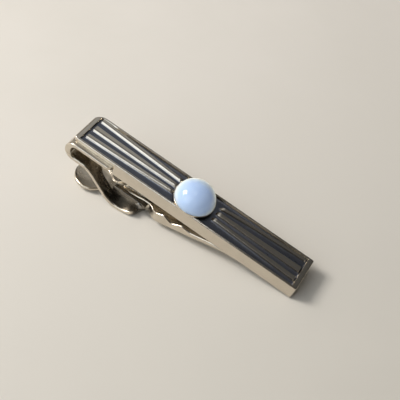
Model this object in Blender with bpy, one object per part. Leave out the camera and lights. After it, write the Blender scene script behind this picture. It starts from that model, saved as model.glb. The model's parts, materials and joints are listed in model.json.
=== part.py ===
"""Tie clip: a stamped bar with a domed stone, and a sprung alligator clip soldered to its back.

Everything is drawn in the bar's own frame, in millimetres: X runs along the bar, Y across it, and Z = 0 is
the top of the bar's rim. The clip hangs below the bar. A parent empty then pitches the whole clip into the
pose in which it lies on a table: on the belly of the clip strap and on the bar's right-hand end.
"""

import math
import bpy

MM = 0.001

# --- bar -----------------------------------------------------------------------------------------
BAR_LENGTH = 50.0
BAR_WIDTH = 8.2
BAR_HEIGHT = 3.0
FACE_THICKNESS = 0.9        # from the rim's top to the underside of the stamped face
WALL = 0.6
RIM_SIDE = 0.45
RIM_END = 1.1
RIM_BEVEL = 0.2
RIM_SLOPE = 0.2             # run of the slope from the rim down to the field
FIELD_DEPTH = 0.55
RIB_CREST = 0.08            # how far the crest of a rib stays below the rim
CORNER_LEFT_FAR = 2.2
CORNER_LEFT_NEAR = 0.9
CORNER_RIGHT = 0.4
SKIRT_INSET = 0.01          # keeps the walls' outer faces just inside the face's edge
LEAF_SEAT_X = -14.5         # to the left of here the back is stepped in, where the clip's leaf lies
LEAF_SEAT_DEPTH = 0.05
NOTCH_X = -15.5             # the near wall starts here, the clip's leaf comes through to its left
RIB_LEFT_X = (-4.4, -23.3)
RIB_RIGHT_X = (4.9, 23.5)
RIB_DRAFT = 0.08            # run of a rib's steep sides
# far and near edge of each rib's flat top: beside the stone, then at the end of the bar, and how fast
# the rib spreads between them (1 is a straight line)
RIBS_LEFT = (
    ((2.30, 1.85), (3.45, 2.95), 1.0),
    ((0.62, 0.12), (1.25, 0.12), 1.0),
    ((-1.05, -1.50), (-1.50, -2.20), 1.0),
)
RIBS_RIGHT = (
    ((1.95, 1.45), (3.40, 2.85), 0.55),
    ((0.75, 0.05), (1.05, -0.20), 1.0),
    ((-0.95, -1.55), (-1.60, -2.50), 1.0),
)

# --- stone and its setting -------------------------------------------------------------------------
STONE_RADIUS = 4.0
STONE_HEIGHT = 3.65
STONE_GIRDLE = 0.15
STONE_BASE_Z = 0.22
BEZEL_RADIUS = 4.16
BEZEL_WALL = 0.11
BEZEL_TOP_Z = 0.42
BEZEL_FLOOR = (0.04, 0.10)
BEZEL_STEM_RADIUS = 3.3
CEMENT = (0.13, 0.19)
CEMENT_RADIUS = 3.9
STONE_CENTRE = (0.2, -0.25)   # the stone sits a little off the middle

# --- clip strap --------------------------------------------------------------------------------------
CLIP_Y = -1.0               # the clip is soldered off the bar's centre line
STRAP_THICKNESS = 0.83
STRAP_HALF_WIDTH = 4.05
LEAF_TOP_Z = -0.94
LEAF_END_X = -15.6
LEAF_CORNER = 1.3
BEND_CENTRE = (-23.62, -3.14)
BEND_MID_RADIUS = 1.785
BEND_STEPS = 10
BEND_THICKENING = 0.42      # how much thicker the sheet is at the bend's outermost point
LEG_FLAT_END_X = -20.7
SLOPE_TOP = (-19.75, -5.25)
BELLY_CENTRE = (-12.2, -4.45)
BELLY_MID_RADIUS = 5.415
BELLY_FROM = -45.0          # degrees from straight down, towards the bar's left end
BELLY_TO = 43.0
SLOT_START_X = -18.9
SLOT_HALF_WIDTH = 1.62
EAR_THICKNESS = 0.83
EAR_TOP = ((-14.7, -6.35), (-7.1, -6.30))

# --- jaw lever ---------------------------------------------------------------------------------------
SHEET = 0.5
LEVER_HALF_WIDTH = 1.55     # between the ears
JAW_HALF_WIDTH = 3.0
TAB_CENTRE_X = -19.95
TAB_RADIUS = 3.9
PIVOT = (-8.4, -7.2)
# underside of the lever's web, from the thumb tab to the jaw's tip
WEB = (
    (-23.85, -11.55), (-22.6, -11.42), (-19.95, -11.10), (-18.4, -10.85), (-16.6, -10.50), (-15.4, -10.28),
    (-14.2, -9.78), (-13.0, -9.25), (-11.6, -9.05), (-9.6, -8.95), (-7.6, -8.50), (-5.4, -7.80),
    (-3.2, -7.38), (-0.2, -6.50), (2.8, -5.75), (4.9, -5.05), (7.9, -4.10), (9.9, -3.66), (12.0, -3.56),
    (13.9, -3.54),
)
# height of the flanges above the web's underside, at places along the bar
FLANGE = (
    (-25.0, 0.62), (-20.4, 0.72), (-16.6, 0.80), (-15.4, 0.80), (-14.2, 1.65), (-13.0, 2.15), (-11.6, 2.45),
    (-9.9, 2.65), (-8.4, 2.75), (-7.0, 2.45), (-5.6, 2.05), (-4.4, 2.40), (-2.9, 2.75), (-1.9, 1.90),
    (-1.0, 1.42), (-0.1, 1.70), (1.0, 2.05), (2.0, 1.60), (3.1, 1.25), (5.0, 1.15), (7.0, 1.05), (9.0, 0.72),
    (11.0, 0.52), (13.9, 0.50),
)

# --- pin and spring ------------------------------------------------------------------------------------
PIN_RADIUS = 0.5
PIN_CLEARANCE = 0.04
PIN_HEAD_RADIUS = 0.75
PIN_HEAD_HEIGHT = 0.22
WIRE_RADIUS = 0.14
COIL_RADIUS = 0.70
COIL_TURNS = 3.5            # from the lower leg, at the coil's bottom, to the upper leg, at its top
COIL_PITCH = 0.36
COIL_STEPS = 10             # for each turn
LOWER_LEG_TIP = (-13.0, -8.52)    # presses the lever's neck down
UPPER_LEG_TIP = (-19.6, -6.80)    # held under the strap, past the end of the slot

# --- resting pose ------------------------------------------------------------------------------------
PITCH = math.radians(10.65)

GAP = 0.04                  # left between pieces that touch


def clear_scene():
    for thing in list(bpy.data.objects):
        bpy.data.objects.remove(thing, do_unlink=True)


def material(name, colour, roughness, metallic, transmission=0.0):
    mat = bpy.data.materials.new(name)
    mat.use_nodes = True
    shader = mat.node_tree.nodes["Principled BSDF"]
    shader.inputs["Base Color"].default_value = (*colour, 1.0)
    shader.inputs["Roughness"].default_value = roughness
    shader.inputs["Metallic"].default_value = metallic
    shader.inputs["Transmission Weight"].default_value = transmission
    return mat


def mesh_object(name, points, faces, mat=None, sharp_degrees=40.0):
    mesh = bpy.data.meshes.new(name)
    mesh.from_pydata([(x * MM, y * MM, z * MM) for x, y, z in points], [], faces)
    mesh.validate()
    mesh.shade_smooth()
    mesh.set_sharp_from_angle(angle=math.radians(sharp_degrees))
    thing = bpy.data.objects.new(name, mesh)
    bpy.context.scene.collection.objects.link(thing)
    if mat is not None:
        mesh.materials.append(mat)
    return thing


def guide(thing):
    thing.hide_render = True
    thing.display_type = "WIRE"
    return thing


def combine(target, tool, operation):
    modifier = target.modifiers.new(operation.lower(), "BOOLEAN")
    modifier.operation = operation
    modifier.solver = "EXACT"
    modifier.object = tool


def arc(centre, radius, start, end, steps):
    """Points on an arc in degrees, 0 straight down (or -Y) and positive towards +X."""
    points = []
    for i in range(steps + 1):
        angle = math.radians(start + (end - start) * i / steps)
        points.append((centre[0] + radius * math.sin(angle), centre[1] - radius * math.cos(angle)))
    return points


def offset_path(path, distance):
    """The path moved sideways to its left by a distance, mitred at its corners."""
    moved = []
    for i, point in enumerate(path):
        before = path[max(i - 1, 0)]
        after = path[min(i + 1, len(path) - 1)]
        normals = []
        for a, b in ((before, point), (point, after)):
            length = math.hypot(b[0] - a[0], b[1] - a[1])
            if length > 1e-9:
                normals.append((-(b[1] - a[1]) / length, (b[0] - a[0]) / length))
        nx = sum(n[0] for n in normals) / len(normals)
        nz = sum(n[1] for n in normals) / len(normals)
        scale = distance / (nx * nx + nz * nz)
        moved.append((point[0] + nx * scale, point[1] + nz * scale))
    return moved


def strip_outline(path, thickness):
    """Closed outline of a strip of one thickness that follows a path along its middle."""
    return offset_path(path, -thickness / 2) + offset_path(path, thickness / 2)[::-1]


def prism(name, outline, low, high, axis, mat=None):
    """An outline pushed along an axis: 'y' takes (x, z) points, 'z' takes (x, y) points."""
    count = len(outline)
    area = sum(outline[i][0] * outline[(i + 1) % count][1] - outline[(i + 1) % count][0] * outline[i][1]
               for i in range(count))
    if (area > 0) == (axis == "y"):
        outline = outline[::-1]
    if axis == "y":
        points = [(x, low, z) for x, z in outline] + [(x, high, z) for x, z in outline]
    else:
        points = [(x, y, low) for x, y in outline] + [(x, y, high) for x, y in outline]
    faces = [tuple(range(count))[::-1], tuple(range(count, 2 * count))]
    for i in range(count):
        j = (i + 1) % count
        faces.append((i, j, count + j, count + i))
    return mesh_object(name, points, faces, mat)


def lofted(name, rings, mat=None):
    """A closed solid through rings of equally many points, capped at both ends."""
    count = len(rings[0])
    points = [point for ring in rings for point in ring]
    faces = [tuple(range(count))[::-1], tuple(range(len(points) - count, len(points)))]
    for row in range(len(rings) - 1):
        for i in range(count):
            j = (i + 1) % count
            base = row * count
            faces.append((base + i, base + j, base + count + j, base + count + i))
    return mesh_object(name, points, faces, mat)


def turned(name, profile, sides, centre, mat):
    """A profile of (radius, z) from the axis round and back to the axis, turned about Z."""
    points = []
    faces = []
    rows = []
    for radius, z in profile:
        if radius < 1e-6:
            rows.append([len(points)] * sides)
            points.append((centre[0], centre[1], z))
            continue
        rows.append([len(points) + i for i in range(sides)])
        for i in range(sides):
            angle = 2 * math.pi * i / sides
            points.append((centre[0] + radius * math.cos(angle), centre[1] + radius * math.sin(angle), z))
    for low, high in zip(rows, rows[1:]):
        for i in range(sides):
            j = (i + 1) % sides
            face = []
            for corner in (low[i], low[j], high[j], high[i]):
                if corner not in face:
                    face.append(corner)
            if len(face) > 2:
                faces.append(tuple(face))
    return mesh_object(name, points, faces, mat)


def between(table, x):
    """Straight-line reading of a table of (x, value) rows."""
    if x <= table[0][0]:
        return table[0][1]
    for (x0, v0), (x1, v1) in zip(table, table[1:]):
        if x <= x1:
            return v0 + (v1 - v0) * (x - x0) / (x1 - x0)
    return table[-1][1]


# --- the bar -------------------------------------------------------------------------------------

def bar_half_width(x, side):
    """Half width of the bar's face at x, with its rounded corners; side is +1 far, -1 near."""
    half = BAR_LENGTH / 2
    if x < 0:
        corner = CORNER_LEFT_FAR if side > 0 else CORNER_LEFT_NEAR
    else:
        corner = CORNER_RIGHT
    into = half - abs(x)
    if into >= corner:
        return BAR_WIDTH / 2
    return BAR_WIDTH / 2 - corner + math.sqrt(max(corner ** 2 - (corner - into) ** 2, 0.0))


def rib_edges(x):
    """Across the bar at x, from near to far: the near and far edge of each rib's top."""
    ribs, (inner_x, outer_x) = (RIBS_LEFT, RIB_LEFT_X) if x < 0 else (RIBS_RIGHT, RIB_RIGHT_X)
    along = min(max((x - inner_x) / (outer_x - inner_x), 0.0), 1.0)
    edges = []
    for inner, outer, spread in reversed(ribs):
        share = along ** spread
        far, near = (a + (b - a) * share for a, b in zip(inner, outer))
        edges.append((near, far))
    return edges


def face_row(x, floor, crest, edge):
    """One row of the face's top surface, from the near edge to the far edge."""
    near = bar_half_width(x, -1)
    far = bar_half_width(x, 1)
    inner = BAR_WIDTH / 2 - RIM_SIDE
    wall_foot = inner - RIM_SLOPE
    across = [(-inner, edge), (-wall_foot, floor)]
    for near_edge, far_edge in rib_edges(x):
        far_top = min(far_edge, wall_foot - 2 * RIB_DRAFT)
        across += [(near_edge - RIB_DRAFT, floor), (near_edge, crest), (far_top, crest)]
        across.append((far_top + RIB_DRAFT, floor))
    across += [(wall_foot, floor), (inner, edge)]
    row = [(x, -near, edge - RIM_BEVEL), (x, -near + RIM_BEVEL, edge)]
    for y, z in across:
        room = far if y > 0 else near
        row.append((x, y * min((room - RIM_SIDE) / inner, 1.0), min(z, edge)))
    row += [(x, far - RIM_BEVEL, edge), (x, far, edge - RIM_BEVEL)]
    return row


def face_rows():
    half = BAR_LENGTH / 2
    field = half - RIM_END
    deep = -FIELD_DEPTH
    crest = -RIB_CREST
    plain = 0.0
    rows = []
    for x in (-half, -half + 0.12, -half + 0.35, -half + 0.7, -field):
        rows.append(face_row(x, plain, plain, -RIM_BEVEL if x == -half else 0.0))
    rows.append(face_row(-field + RIM_SLOPE, deep, deep, 0.0))
    for x in (RIB_LEFT_X[1], -17.0, -10.5, RIB_LEFT_X[0] - 0.3):
        rows.append(face_row(x, deep, crest, 0.0))
    for x in (RIB_LEFT_X[0], RIB_RIGHT_X[0] - 0.45):
        rows.append(face_row(x, deep, deep, 0.0))
    for x in (RIB_RIGHT_X[0], 7.0, 10.5, 16.0, RIB_RIGHT_X[1]):
        rows.append(face_row(x, deep, crest, 0.0))
    rows.append(face_row(field - RIM_SLOPE, deep, deep, 0.0))
    for x in (field, half - CORNER_RIGHT, half - 0.12, half):
        rows.append(face_row(x, plain, plain, -RIM_BEVEL if x == half else 0.0))
    return rows


def slab(name, rows, bottom, mat):
    """A closed slab under rows of points, with one flat face below."""
    count = len(rows[0])
    last = len(rows) - 1
    points = [point for row in rows for point in row]
    faces = []
    for r in range(last):
        for i in range(count - 1):
            a = r * count + i
            faces.append((a, a + count, a + count + 1, a + 1))
    border = [i for i in range(count)]
    border += [r * count + count - 1 for r in range(1, last + 1)]
    border += [last * count + i for i in range(count - 2, -1, -1)]
    border += [r * count for r in range(last - 1, 0, -1)]
    start = len(points)
    points += [(points[i][0], points[i][1], bottom) for i in border]
    for k, i in enumerate(border):
        m = (k + 1) % len(border)
        faces.append((i, border[m], start + m, start + k))
    faces.append(tuple(range(start, start + len(border))))
    return mesh_object(name, points, faces, mat)


def make_bar(mat):
    bar = slab("bar_shell", face_rows(), -FACE_THICKNESS, mat)
    seat = [(-BAR_LENGTH, -BAR_WIDTH), (LEAF_SEAT_X, -BAR_WIDTH), (LEAF_SEAT_X, BAR_WIDTH)]
    seat.append((-BAR_LENGTH, BAR_WIDTH))
    step = prism("leaf_seat_tool", seat, -BAR_HEIGHT, LEAF_SEAT_DEPTH - FACE_THICKNESS, "z")
    combine(bar, guide(step), "DIFFERENCE")
    middle = SKIRT_INSET + WALL / 2
    side = BAR_WIDTH / 2 - middle
    end = BAR_LENGTH / 2 - middle
    round_right = CORNER_RIGHT - middle + 0.25
    round_left = CORNER_LEFT_FAR - middle
    path = [(NOTCH_X, -side)]
    path += arc((end - round_right, -side + round_right), round_right, 0.0, 90.0, 3)
    path += arc((end - round_right, side - round_right), round_right, 90.0, 180.0, 3)
    path += arc((-end + round_left, side - round_left), round_left, 180.0, 218.0, 3)
    skirt = prism("skirt_tool", strip_outline(path, WALL), -BAR_HEIGHT, -FIELD_DEPTH - 0.1, "z")
    combine(bar, guide(skirt), "UNION")
    return bar


# --- stone and setting -----------------------------------------------------------------------------

def dome_profile(steps):
    top = STONE_BASE_Z + STONE_HEIGHT
    girdle = STONE_BASE_Z + STONE_GIRDLE
    profile = [(0.0, STONE_BASE_Z), (STONE_RADIUS - 0.12, STONE_BASE_Z), (STONE_RADIUS, girdle)]
    for i in range(1, steps):
        angle = math.pi / 2 * i / steps
        profile.append((STONE_RADIUS * math.cos(angle), girdle + (top - girdle) * math.sin(angle)))
    profile.append((0.0, top))
    return profile


def make_stone(mat):
    return turned("cabochon", dome_profile(9), 36, STONE_CENTRE, mat)


def make_bezel(mat):
    low, floor = BEZEL_FLOOR
    inside = BEZEL_RADIUS - BEZEL_WALL
    profile = [
        (0.0, -FIELD_DEPTH + GAP), (BEZEL_STEM_RADIUS, -FIELD_DEPTH + GAP), (BEZEL_STEM_RADIUS, low),
        (BEZEL_RADIUS, low), (BEZEL_RADIUS, BEZEL_TOP_Z - 0.06), (BEZEL_RADIUS - 0.06, BEZEL_TOP_Z),
        (inside, BEZEL_TOP_Z), (inside, floor), (0.0, floor),
    ]
    return turned("bezel_cup", profile, 36, STONE_CENTRE, mat)


def make_cement(mat):
    low, high = CEMENT
    profile = [(0.0, low), (CEMENT_RADIUS, low), (CEMENT_RADIUS, high), (0.0, high)]
    return turned("cement_bed", profile, 24, STONE_CENTRE, mat)


# --- clip strap --------------------------------------------------------------------------------------

def strap_path():
    """Middle line of the strap in X and Z: leaf, U bend, leg, slope and belly."""
    leaf_z = LEAF_TOP_Z - STRAP_THICKNESS / 2
    path = [(LEAF_END_X, leaf_z)]
    path += arc(BEND_CENTRE, BEND_MID_RADIUS, 180.0, 360.0, BEND_STEPS)
    path.append((LEG_FLAT_END_X, BEND_CENTRE[1] - BEND_MID_RADIUS))
    path.append(SLOPE_TOP)
    path += arc(BELLY_CENTRE, BELLY_MID_RADIUS, BELLY_FROM, BELLY_TO, 9)
    return path


def strap_outline():
    """Side view of the strap: one thickness all along, but for the thicker bend."""
    path = strap_path()
    one = offset_path(path, STRAP_THICKNESS / 2)
    other = offset_path(path, -STRAP_THICKNESS / 2)
    middle = 1 + BEND_STEPS // 2
    inner = one if one[middle][0] > other[middle][0] else other
    for i in range(1, BEND_STEPS + 2):
        inner[i] = (inner[i][0] + BEND_THICKENING, inner[i][1])
    return one + other[::-1]


def slot_outline():
    """Plan of the slot, round at its closed end and open past the belly's end."""
    points = [(0.0, CLIP_Y - SLOT_HALF_WIDTH)]
    round_end = arc((SLOT_START_X + SLOT_HALF_WIDTH, CLIP_Y), SLOT_HALF_WIDTH, 0.0, -180.0, 8)
    return points + round_end + [(0.0, CLIP_Y + SLOT_HALF_WIDTH)]


def leaf_corner_outline(side):
    """The spandrel cut off one corner of the leaf's free end."""
    edge = CLIP_Y + side * STRAP_HALF_WIDTH
    centre = (LEAF_END_X - LEAF_CORNER, edge - side * LEAF_CORNER)
    points = []
    for i in range(6):
        angle = math.radians(90.0 * i / 5)
        points.append((centre[0] + LEAF_CORNER * math.sin(angle), centre[1] + side * LEAF_CORNER * math.cos(angle)))
    return points + [(LEAF_END_X + 1.0, centre[1]), (LEAF_END_X + 1.0, edge + side), (centre[0], edge + side)]


def ear_outline():
    """Side view of an ear: it stands on the belly, beside the slot."""
    (left_x, left_z), (right_x, right_z) = EAR_TOP
    lower = arc(BELLY_CENTRE, BELLY_MID_RADIUS, -24.0, 38.0, 7)
    return [(left_x + 0.4, left_z), (right_x - 0.5, right_z), (right_x, right_z - 0.5)] + lower[::-1] + [
        (left_x, left_z - 0.4)]


def make_strap(mat):
    low = CLIP_Y - STRAP_HALF_WIDTH
    high = CLIP_Y + STRAP_HALF_WIDTH
    strap = prism("clip_strap", strap_outline(), low, high, "y", mat)
    combine(strap, guide(prism("slot_tool", slot_outline(), -14.0, -3.4, "z")), "DIFFERENCE")
    for side, name in ((-1, "near"), (1, "far")):
        corner = prism("corner_tool_" + name, leaf_corner_outline(side), -2.4, 0.2, "z")
        combine(strap, guide(corner), "DIFFERENCE")
        inner = CLIP_Y + side * SLOT_HALF_WIDTH
        faces = sorted((inner + side * 0.01, inner + side * EAR_THICKNESS))
        ear = prism("ear_tool_" + name, ear_outline(), faces[0], faces[1], "y")
        combine(strap, guide(ear), "UNION")
    bore = rod("bore_tool", PIN_RADIUS + 0.02, CLIP_Y - 4.0, CLIP_Y + 4.0, 20)
    combine(strap, guide(bore), "DIFFERENCE")
    return strap


# --- jaw lever ---------------------------------------------------------------------------------------

def lever_half_width(x):
    tab_edge = TAB_CENTRE_X - TAB_RADIUS
    if x < TAB_CENTRE_X:
        across = TAB_RADIUS ** 2 - (x - TAB_CENTRE_X) ** 2
        return max(math.sqrt(max(across, 0.0)), 1.2 if x > tab_edge - 0.01 else 0.0)
    table = [(TAB_CENTRE_X, TAB_RADIUS), (-18.6, 3.62), (-17.4, 2.80), (-16.6, 2.00), (-15.9, LEVER_HALF_WIDTH),
             (-6.6, LEVER_HALF_WIDTH), (-5.4, 2.45), (-4.4, JAW_HALF_WIDTH), (9.0, JAW_HALF_WIDTH),
             (12.6, 2.75), (13.4, 2.35), (13.9, 1.7)]
    return between(table, x)


def lever_ring(x, z):
    """Cross-section of the lever's channel at x, z being the web's underside."""
    half = lever_half_width(x)
    flange = max(between(FLANGE, x), SHEET + 0.02)
    inner = half - SHEET
    shape = [(-half, 0.12), (-half + 0.12, 0.0), (half - 0.12, 0.0), (half, 0.12), (half, flange),
             (inner, flange), (inner, SHEET), (-inner, SHEET), (-inner, flange), (-half, flange)]
    return [(x, CLIP_Y + y, z + up) for y, up in shape]


def lever_stations():
    places = {x for x, _ in WEB}
    places |= {x for x, _ in FLANGE if x > TAB_CENTRE_X}
    places |= {-23.6, -21.3, -18.6, -17.4, -16.6, -15.9, -6.6, -5.4, -4.4, 12.6, 13.4}
    return sorted(places)


def make_lever(mat):
    rings = [lever_ring(x, between(WEB, x)) for x in lever_stations()]
    lever = lofted("jaw_lever", rings, mat)
    bore = rod("pin_bore_tool", PIN_RADIUS + PIN_CLEARANCE, CLIP_Y - 3.0, CLIP_Y + 3.0, 20)
    combine(lever, guide(bore), "DIFFERENCE")
    return lever


# --- pin and spring ------------------------------------------------------------------------------------

def rod(name, radius, low, high, sides, mat=None):
    ring = [(PIVOT[0] + radius * math.cos(2 * math.pi * i / sides),
             PIVOT[1] + radius * math.sin(2 * math.pi * i / sides)) for i in range(sides)]
    return prism(name, ring, low, high, "y", mat)


def make_pin(mat):
    """The rivet, with a peened head outside each ear."""
    face = SLOT_HALF_WIDTH + EAR_THICKNESS + GAP
    stations = [(-face - PIN_HEAD_HEIGHT, 0.55 * PIN_HEAD_RADIUS), (-face - 0.08, PIN_HEAD_RADIUS),
                (-face, PIN_HEAD_RADIUS), (-face, PIN_RADIUS - 0.01), (face, PIN_RADIUS - 0.01),
                (face, PIN_HEAD_RADIUS), (face + 0.08, PIN_HEAD_RADIUS),
                (face + PIN_HEAD_HEIGHT, 0.55 * PIN_HEAD_RADIUS)]
    sides = 20
    rings = []
    for y, radius in stations:
        rings.append([(PIVOT[0] + radius * math.sin(2 * math.pi * i / sides), CLIP_Y + y,
                       PIVOT[1] + radius * math.cos(2 * math.pi * i / sides)) for i in range(sides)])
    return lofted("hinge_pin", rings, mat)


def spring_route():
    """Wire's middle line: a leg on the lever's neck, the coil round the pin, a leg under the strap."""
    start = -COIL_TURNS * COIL_PITCH / 2
    end = -start
    route = [(LOWER_LEG_TIP[0], start, LOWER_LEG_TIP[1]), (-10.8, start, -8.30)]
    steps = round(COIL_TURNS * COIL_STEPS)
    for i in range(steps + 1):
        angle = 2 * math.pi * (0.75 + i / COIL_STEPS)
        route.append((PIVOT[0] + COIL_RADIUS * math.cos(angle), start + COIL_PITCH * i / COIL_STEPS,
                      PIVOT[1] + COIL_RADIUS * math.sin(angle)))
    route += [(-11.0, end, -6.42), (-17.8, end, -6.92), (UPPER_LEG_TIP[0], end, UPPER_LEG_TIP[1])]
    return [(x, CLIP_Y + y, z) for x, y, z in route]


def make_spring(mat):
    route = spring_route()
    curve = bpy.data.curves.new("torsion_spring", "CURVE")
    curve.dimensions = "3D"
    curve.bevel_depth = WIRE_RADIUS * MM
    curve.bevel_resolution = 1
    curve.use_fill_caps = True
    spline = curve.splines.new("POLY")
    spline.points.add(len(route) - 1)
    for point, place in zip(spline.points, route):
        point.co = (place[0] * MM, place[1] * MM, place[2] * MM, 1.0)
    curve.materials.append(mat)
    thing = bpy.data.objects.new("torsion_spring", curve)
    bpy.context.scene.collection.objects.link(thing)
    return thing


# --- assembly ------------------------------------------------------------------------------------------

def lowest_and_span(things):
    """World box of the evaluated objects, as two corners."""
    graph = bpy.context.evaluated_depsgraph_get()
    low = [math.inf] * 3
    high = [-math.inf] * 3
    for thing in things:
        ready = thing.evaluated_get(graph)
        mesh = ready.to_mesh()
        for vertex in mesh.vertices:
            place = ready.matrix_world @ vertex.co
            for k in range(3):
                low[k] = min(low[k], place[k])
                high[k] = max(high[k], place[k])
        ready.to_mesh_clear()
    return low, high


def stand_on_table(clip, things):
    """Pitch the clip and put the origin under the middle of its box, on the table."""
    clip.rotation_euler = (0.0, PITCH, 0.0)
    bpy.context.view_layer.update()
    low, high = lowest_and_span(things)
    clip.location = (-(low[0] + high[0]) / 2, -(low[1] + high[1]) / 2, -low[2])
    bpy.context.view_layer.update()


def set_origin(thing, place):
    """Move an object's origin to a place in the bar's frame without moving its shape."""
    for vertex in thing.data.vertices:
        vertex.co.x -= place[0] * MM
        vertex.co.y -= place[1] * MM
        vertex.co.z -= place[2] * MM
    thing.location = (place[0] * MM, place[1] * MM, place[2] * MM)


def main():
    clear_scene()
    plated = material("plated_metal", (0.42, 0.41, 0.38), 0.22, 1.0)
    clip_metal = material("clip_metal", (0.40, 0.39, 0.36), 0.25, 1.0)
    stone = material("chalcedony", (0.60, 0.72, 0.86), 0.15, 0.0, 0.3)
    cement = material("cement", (0.75, 0.73, 0.68), 0.8, 0.0)
    steel = material("spring_steel", (0.35, 0.35, 0.36), 0.3, 1.0)

    pieces = [make_bar(plated), make_bezel(plated), make_stone(stone), make_cement(cement),
              make_strap(clip_metal), make_pin(steel), make_spring(steel)]
    lever = make_lever(clip_metal)
    set_origin(lever, (PIVOT[0], CLIP_Y, PIVOT[1]))

    clip = bpy.data.objects.new("tie_clip", None)
    bpy.context.scene.collection.objects.link(clip)
    for thing in list(bpy.context.scene.collection.objects):
        if thing is not clip:
            thing.parent = clip
    bpy.context.view_layer.update()
    stand_on_table(clip, pieces + [lever])


main()
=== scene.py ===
"""Tie clip: fine meshes, materials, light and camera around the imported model.

Shapes are drawn in the bar's own frame, in millimetres: X along the bar, Y across it, Z = 0 the top of its
rim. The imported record's bar_back mount gives the place and pitch of that frame.
"""
import json
import math

import bmesh
import bpy
from mathutils import Matrix, Vector


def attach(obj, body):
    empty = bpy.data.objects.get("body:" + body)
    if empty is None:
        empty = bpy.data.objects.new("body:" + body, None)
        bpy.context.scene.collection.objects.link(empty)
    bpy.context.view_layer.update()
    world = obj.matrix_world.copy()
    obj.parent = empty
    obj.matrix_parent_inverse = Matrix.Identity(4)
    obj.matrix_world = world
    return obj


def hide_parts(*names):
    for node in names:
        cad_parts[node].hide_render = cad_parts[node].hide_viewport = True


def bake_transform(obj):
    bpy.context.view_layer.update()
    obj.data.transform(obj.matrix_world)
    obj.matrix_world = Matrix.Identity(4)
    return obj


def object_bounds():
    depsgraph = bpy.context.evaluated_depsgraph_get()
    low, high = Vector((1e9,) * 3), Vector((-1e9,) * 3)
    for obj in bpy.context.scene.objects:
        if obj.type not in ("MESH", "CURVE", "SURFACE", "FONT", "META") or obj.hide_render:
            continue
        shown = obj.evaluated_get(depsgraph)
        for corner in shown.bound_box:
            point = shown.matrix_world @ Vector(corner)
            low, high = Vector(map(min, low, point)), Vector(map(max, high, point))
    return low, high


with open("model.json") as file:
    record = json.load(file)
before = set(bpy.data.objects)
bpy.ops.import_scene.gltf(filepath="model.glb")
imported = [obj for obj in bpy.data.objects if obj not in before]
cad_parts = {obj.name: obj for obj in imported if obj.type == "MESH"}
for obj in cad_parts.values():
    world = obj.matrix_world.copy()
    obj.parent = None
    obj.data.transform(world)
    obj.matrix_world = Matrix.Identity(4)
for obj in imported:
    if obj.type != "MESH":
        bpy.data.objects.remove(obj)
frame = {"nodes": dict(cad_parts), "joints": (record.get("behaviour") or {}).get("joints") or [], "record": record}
CAD_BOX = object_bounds()

MM = 0.001

# --- the bar's frame, from the flat back of the bar ---------------------------------------------------
BACK = next(m for m in frame["record"]["mounts"] if m["name"] == "bar_back")
BACK_POINT = Vector((18.0, 0.0, -0.9))      # where that mount lies in the bar's frame
PITCH = math.atan2(-BACK["axis"][0], -BACK["axis"][2])
BAR_TURN = Matrix.Rotation(PITCH, 4, "Y")
BAR_ALONG = tuple(BAR_TURN.to_3x3() @ Vector((1.0, 0.0, 0.0)))
BAR_UP = tuple(BAR_TURN.to_3x3() @ Vector((0.0, 0.0, 1.0)))
BAR_PLACE = Vector(BACK["pos_m"]) - BAR_TURN @ (BACK_POINT * MM)
TO_WORLD = Matrix.Translation(BAR_PLACE) @ BAR_TURN @ Matrix.Scale(MM, 4)
HINGE = next(j for j in frame["joints"] if j["name"] == "jaw_hinge")
PIVOT_3D = TO_WORLD.inverted() @ Vector(HINGE["pos_m"])
PIVOT = (PIVOT_3D.x, PIVOT_3D.z)
CLIP_Y = PIVOT_3D.y                         # middle of the clip, off the bar's centre line

# --- bar ---------------------------------------------------------------------------------------------
BAR_LENGTH = 50.0
BAR_WIDTH = 8.2
BAR_HEIGHT = 3.0
FACE_THICKNESS = 0.9
WALL = 0.6
WALL_FOOT_ROUND = 0.12
WALL_END_ANGLE = 218.0                      # degrees round the far left corner, where the side wall stops
WALL_OVERLAP = 0.12                         # how far the walls' tops lie below the field, inside the face
RIM_SIDE = 0.42
RIM_END = 1.05
RIM_ROUND = 0.22                            # of the rim's outer edges, except at the left end
END_ROUND_LEFT = 0.48
RIM_SLOPE = 0.2                             # how far the rim's inner side reaches into the field
FIELD_DEPTH = 0.5
RIB_CREST = 0.05                            # how far the ribs' tops lie below the rim
RIB_NEAR_RUN_LEFT = 0.40                    # how far a rib's sides reach across the bar
RIB_NEAR_RUN_RIGHT = 0.20
RIB_FAR_RUN = 0.30
RIB_NOSE = 0.7                              # length of a rib's round end, beside the stone
RIB_RISE = 0.8                              # along which a rib rises from the field, beside the stone
RIB_FALL = 0.12                             # along which it falls again, at the bar's end
CORNER_LEFT_FAR = 2.2
CORNER_LEFT_NEAR = 0.9
CORNER_RIGHT = 0.4
SKIRT_INSET = 0.002
NOTCH_X = -15.5
RIB_LEFT_X = (-3.3, -23.45)                 # from beside the stone to the bar's end
RIB_RIGHT_X = (4.75, 23.7)
# far and near edge of each rib's top, beside the stone and then at the bar's end, and a power that says
# how early the rib spreads between the two: 1 is evenly, less is earlier
RIBS_LEFT = (
    ((2.30, 1.85), (3.60, 2.95), 1.0),
    ((0.62, 0.12), (1.25, 0.12), 1.0),
    ((-1.05, -1.50), (-1.50, -2.20), 1.0),
)
RIBS_RIGHT = (
    ((1.95, 1.45), (3.40, 2.85), 0.55),
    ((0.75, 0.05), (1.05, -0.20), 1.0),
    ((-0.95, -1.55), (-1.60, -2.50), 1.0),
)

# --- stone and setting -------------------------------------------------------------------------------
STONE_RADIUS = 4.0
STONE_HEIGHT = 3.65
STONE_GIRDLE = 0.15
STONE_BASE_Z = 0.22
BEZEL_RADIUS = 4.16
BEZEL_WALL = 0.11
BEZEL_TOP_Z = 0.42
BEZEL_FLOOR = (0.04, 0.10)
BEZEL_STEM_RADIUS = 3.3
STONE_CENTRE = (0.2, -0.25)

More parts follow.
